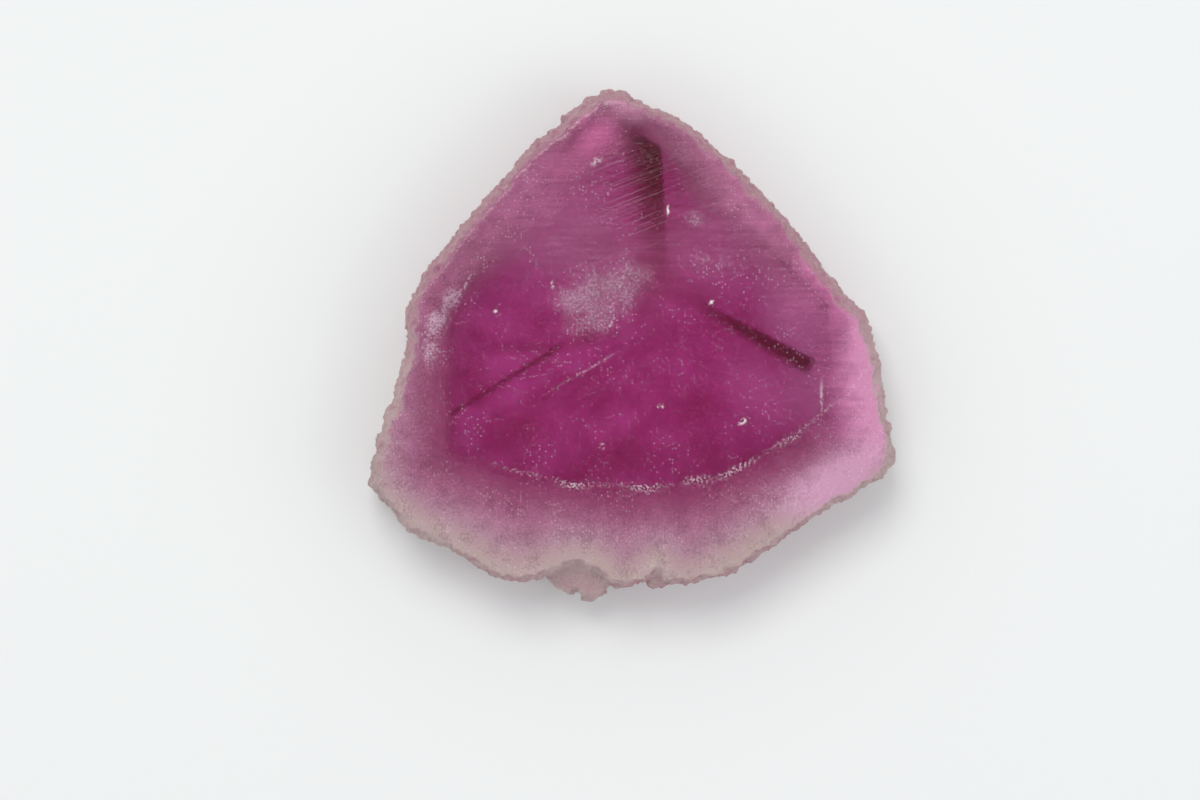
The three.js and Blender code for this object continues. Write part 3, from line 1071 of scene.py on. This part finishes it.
@dataclass
class TourmalineSlice:
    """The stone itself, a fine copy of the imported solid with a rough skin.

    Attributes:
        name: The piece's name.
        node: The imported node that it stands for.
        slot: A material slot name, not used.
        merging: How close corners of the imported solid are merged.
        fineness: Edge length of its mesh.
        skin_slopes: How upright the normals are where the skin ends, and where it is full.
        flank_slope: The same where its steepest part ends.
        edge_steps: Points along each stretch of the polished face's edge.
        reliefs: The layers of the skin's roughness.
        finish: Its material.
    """

    name: str = "tourmaline_stone"
    node: str = "tourmaline_slice"
    slot: str = "tourmaline"
    merging: float = 0.0005
    fineness: float = 0.07
    skin_slopes: Span = (0.97, 0.62)
    flank_slope: float = 0.4
    edge_steps: int = 8
    reliefs: tuple[SkinRelief, ...] = (
        SkinRelief("flutes", 0.3, 7.0, 0.1, 2),
        SkinRelief("lumps", 0.5, 1.2, 0.12, 2),
        SkinRelief("grains", 0.18, 1.0, 0.24, 2),
    )
    finish: CrystalFinish = CrystalFinish()

    def build(self) -> bpy.types.Object:
        """Models the stone in millimetres, and sets it in the frame in metres.

        Returns:
            The finished piece, riding on the part's body.
        """
        piece = self._copy_of_solid()
        ring = self._upper_edge(piece)
        self._remesh(piece)
        self._roughen(piece)
        self._mark(piece, ring)
        self._rescale(piece, MM)
        bpy.ops.object.shade_smooth()
        self.dress(piece)
        return piece

    def dress(self, piece: bpy.types.Object) -> None:
        """Gives the piece its material and its place in the frame."""
        piece.data.materials.clear()
        piece.data.materials.append(self.finish.material())
        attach(piece, "root")
        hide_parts(self.node)

    def _copy_of_solid(self) -> bpy.types.Object:
        """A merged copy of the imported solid, in millimetres."""
        piece = bpy.data.objects.new(self.name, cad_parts[self.node].data.copy())
        bpy.context.scene.collection.objects.link(piece)
        self._select_only(piece)
        self._rescale(piece, 1.0 / MM)
        bpy.ops.object.mode_set(mode="EDIT")
        bpy.ops.mesh.select_all(action="SELECT")
        bpy.ops.mesh.remove_doubles(threshold=self.merging)
        bpy.ops.object.mode_set(mode="OBJECT")
        return piece

    @staticmethod
    def _select_only(piece: bpy.types.Object) -> None:
        """Selects the piece alone, and makes it active."""
        bpy.ops.object.select_all(action="DESELECT")
        piece.select_set(True)
        bpy.context.view_layer.objects.active = piece

    @staticmethod
    def _rescale(piece: bpy.types.Object, factor: float) -> None:
        """Scales the piece about the origin, in its mesh."""
        piece.scale = (factor,) * 3
        bpy.ops.object.transform_apply(location=False, rotation=False, scale=True)

    @staticmethod
    def _points(piece: bpy.types.Object, what: str = "co") -> np.ndarray:
        """The mesh's vertex places or normals, one row each."""
        values = np.zeros(len(piece.data.vertices) * 3, np.float32)
        piece.data.vertices.foreach_get(what, values)
        return values.reshape(-1, 3)

    def _upper_edge(self, piece: bpy.types.Object) -> np.ndarray:
        """The polished face's edge.

        Args:
            piece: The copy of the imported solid.

        Returns:
            Closely spaced points of the edge in plan, one row each.
        """
        points = self._points(piece)
        top = points[points[:, 2] > points[:, 2].max() - self.merging][:, :2]
        corners = top[np.argsort(np.arctan2(top[:, 1], top[:, 0]))]
        stretches = np.roll(corners, -1, axis=0) - corners
        steps = np.linspace(0.0, 1.0, self.edge_steps, endpoint=False)[:, None, None]
        return (corners + stretches * steps).reshape(-1, 2)

    def _remesh(self, piece: bpy.types.Object) -> None:
        """Gives the piece an even, fine mesh."""
        remesh = piece.modifiers.new("remesh", "REMESH")
        remesh.mode = "VOXEL"
        remesh.voxel_size = self.fineness
        bpy.ops.object.modifier_apply(modifier=remesh.name)

    def _uprightness(self, piece: bpy.types.Object) -> np.ndarray:
        """How upright each vertex's normal is: 1 on a level face and 0 on an upright wall."""
        return np.abs(self._points(piece, "normal")[:, 2])

    def _skin_share(self, piece: bpy.types.Object) -> np.ndarray:
        """1 on the skin and 0 on the sawn faces, for each vertex."""
        ends, full = self.skin_slopes
        return np.clip((ends - self._uprightness(piece)) / (ends - full), 0.0, 1.0)

    def _roughen(self, piece: bpy.types.Object) -> None:
        """Raises and pits the skin with layers of noise, and leaves the sawn faces flat."""
        group = piece.vertex_groups.new(name="rough")
        for index, share in enumerate(self._skin_share(piece).tolist()):
            group.add([index], share, "REPLACE")
        for relief in self.reliefs:
            self._displace(piece, relief, "rough")
        piece.vertex_groups.clear()

    def _displace(self, piece: bpy.types.Object, relief: SkinRelief, group: str) -> None:
        """Adds one layer of roughness.

        Args:
            piece: The stone.
            relief: The layer.
            group: The vertex group that says how much of it each vertex gets.
        """
        texture = bpy.data.textures.new(relief.name, "CLOUDS")
        texture.noise_scale = relief.grain
        texture.noise_depth = relief.octaves
        bpy.ops.object.empty_add()
        guide = bpy.context.object
        guide.scale = (1.0, 1.0, relief.stretch)
        self._select_only(piece)
        displace = piece.modifiers.new(relief.name, "DISPLACE")
        displace.texture = texture
        displace.texture_coords = "OBJECT"
        displace.texture_coords_object = guide
        displace.vertex_group = group
        displace.strength = relief.height
        bpy.context.view_layer.update()
        bpy.ops.object.modifier_apply(modifier=displace.name)
        bpy.data.objects.remove(guide)

    def _mark(self, piece: bpy.types.Object, ring: np.ndarray) -> None:
        """Stores on each vertex what the material reads there.

        Args:
            piece: The stone.
            ring: Points of the polished face's edge, in plan.
        """
        tree = KDTree(len(ring))
        for index, (across, up) in enumerate(ring.tolist()):
            tree.insert((across, up, 0.0), index)
        tree.balance()
        places = self._points(piece)[:, :2]
        rim = np.array([tree.find((across, up, 0.0))[2] for across, up in places.tolist()])
        self._store(piece, "rim", rim)
        self._store(piece, "skin", self._skin_share(piece))
        self._store(piece, "flank", np.clip(1.0 - self._uprightness(piece) / self.flank_slope, 0.0, 1.0))
        for kind in PatchKind:
            if kind is not PatchKind.FLECK:
                colours, cover = layered(places, kind)
                self._store(piece, kind.value, cover)
                if kind in COLOURED:
                    self._store(piece, kind.value + "_colour", colours)

    @staticmethod
    def _store(piece: bpy.types.Object, name: str, values: np.ndarray) -> None:
        """Stores a number or a colour for each vertex.

        Args:
            piece: The stone.
            name: The attribute's name.
            values: One number or one row for each vertex.
        """
        kind, field = ("FLOAT", "value") if values.ndim == 1 else ("FLOAT_VECTOR", "vector")
        attribute = piece.data.attributes.new(name, kind, "POINT")
        attribute.data.foreach_set(field, values.astype(np.float32).ravel())


@dataclass(frozen=True)
class SoftBox:
    """A square soft light that faces the stone: name, place, size, radiance and colour."""

    name: str
    place: tuple[float, float, float]
    size: float
    radiance: float
    colour: Colour


@dataclass
class Studio:
    """A pale floor, soft lights, a bright horizon and a camera that looks straight down.

    Attributes:
        lens: The camera's focal length.
        sensor: The width of its sensor.
        frame_width: How wide the picture is at the level of the stone's widest outline.
        aim: The place in the middle of the picture, in plan.
        level: The height of that level.
        clip: The camera's nearest and furthest distance.
        floor_gap: How far the floor lies below the stone, so that the two don't share a plane.
        floor_size: The floor's side.
        floor_colour: Its colour.
        floor_finish: Its roughness and specular level.
        sky_stops: Heights in the sky, from the horizon at 0 to overhead at 1, and how bright they are.
        boxes: The soft lights.
        bounces: How often light may bounce, which bounds the time that a picture takes.
    """

    lens: float = 150.0
    sensor: float = 36.0
    frame_width: float = 30.0
    aim: Point = (-0.8125, -1.35)
    level: float = 1.6
    clip: Span = (1.0, 10000.0)
    floor_gap: float = 0.02
    floor_size: float = 700.0
    floor_colour: Colour = tint(238, 241, 242)
    floor_finish: Point = (0.7, 0.2)
    sky_stops: tuple[tuple[float, float], ...] = ((0.0, 0.4), (0.45, 0.72), (0.85, 1.05), (0.95, 0.08))
    boxes: tuple[SoftBox, ...] = (
        SoftBox("key_light", (-35.0, 98.0, 200.0), 100.0, 5.4, tint(255, 252, 248)),
        SoftBox("fill_light", (190.0, -60.0, 150.0), 160.0, 0.8, tint(246, 250, 255)),
    )
    bounces: int = 8

    def build(self) -> None:
        """Sets up the whole studio."""
        self._floor()
        self._sky()
        for box in self.boxes:
            self._light(box)
        self._camera()
        scene = bpy.context.scene
        scene.view_settings.view_transform = "Standard"
        scene.cycles.max_bounces = self.bounces

    def _floor(self) -> None:
        """Lays a plain pale floor."""
        bpy.ops.object.select_all(action="DESELECT")
        place = (0.0, 0.0, -self.floor_gap * MM)
        bpy.ops.mesh.primitive_plane_add(size=self.floor_size * MM, location=place)
        floor = bpy.context.object
        floor.name = "floor"
        card = bpy.data.materials.new("floor_card")
        sheet = ShaderSheet(card)
        shader = sheet.node("ShaderNodeBsdfPrincipled", None, {
            "Base Color": self.floor_colour,
            "Roughness": self.floor_finish[0],
            "Specular IOR Level": self.floor_finish[1],
        })
        sheet.node("ShaderNodeOutputMaterial", None, {"Surface": shader.outputs[0]})
        floor.data.materials.append(card)

    def _sky(self) -> None:
        """Makes a soft sky that is dark right overhead, where the polished face would mirror it."""
        world = bpy.data.worlds.new("studio")
        bpy.context.scene.world = world
        sheet = ShaderSheet(world)
        place = sheet.node("ShaderNodeTexCoord").outputs["Generated"]
        height = sheet.node("ShaderNodeSeparateXYZ", None, {0: place}).outputs["Z"]
        stops = tuple((place, (bright, bright, bright, 1.0)) for place, bright in self.sky_stops)
        colour = sheet.node("ShaderNodeValToRGB", {"stops": stops}, {0: height}).outputs[0]
        shade = sheet.node("ShaderNodeBackground", None, {"Color": colour})
        sheet.node("ShaderNodeOutputWorld", None, {"Surface": shade.outputs[0]})

    @staticmethod
    def _light(box: SoftBox) -> None:
        """Adds one soft light."""
        place = Vector(box.place) * MM
        bpy.ops.object.light_add(type="AREA", location=place)
        light = bpy.context.object
        light.name = box.name
        light.rotation_euler = (-place).to_track_quat("-Z", "Y").to_euler()
        light.data.size = box.size * MM
        light.data.energy = box.radiance * math.pi * (box.size * MM) ** 2
        light.data.color = box.colour[:3]

    def _camera(self) -> None:
        """Sets a camera above the stone, with the slice's top corner upwards in the picture."""
        distance = self.frame_width * self.lens / self.sensor
        place = Vector((*self.aim, self.level + distance)) * MM
        bpy.ops.object.camera_add(location=place, rotation=(0.0, 0.0, 0.0))
        camera = bpy.context.object
        camera.name = "camera"
        camera.data.lens = self.lens
        camera.data.sensor_width = self.sensor
        camera.data.clip_start = self.clip[0] * MM
        camera.data.clip_end = self.clip[1] * MM
        bpy.context.scene.camera = camera


def main() -> None:
    logging.basicConfig(level=logging.INFO, format="%(message)s")
    Studio().build()
    LOG.info("studio: floor, lights and camera")
    stone = TourmalineSlice().build()
    LOG.info("%s: %d faces", stone.name, len(stone.data.polygons))


if __name__ == "__main__":
    main()
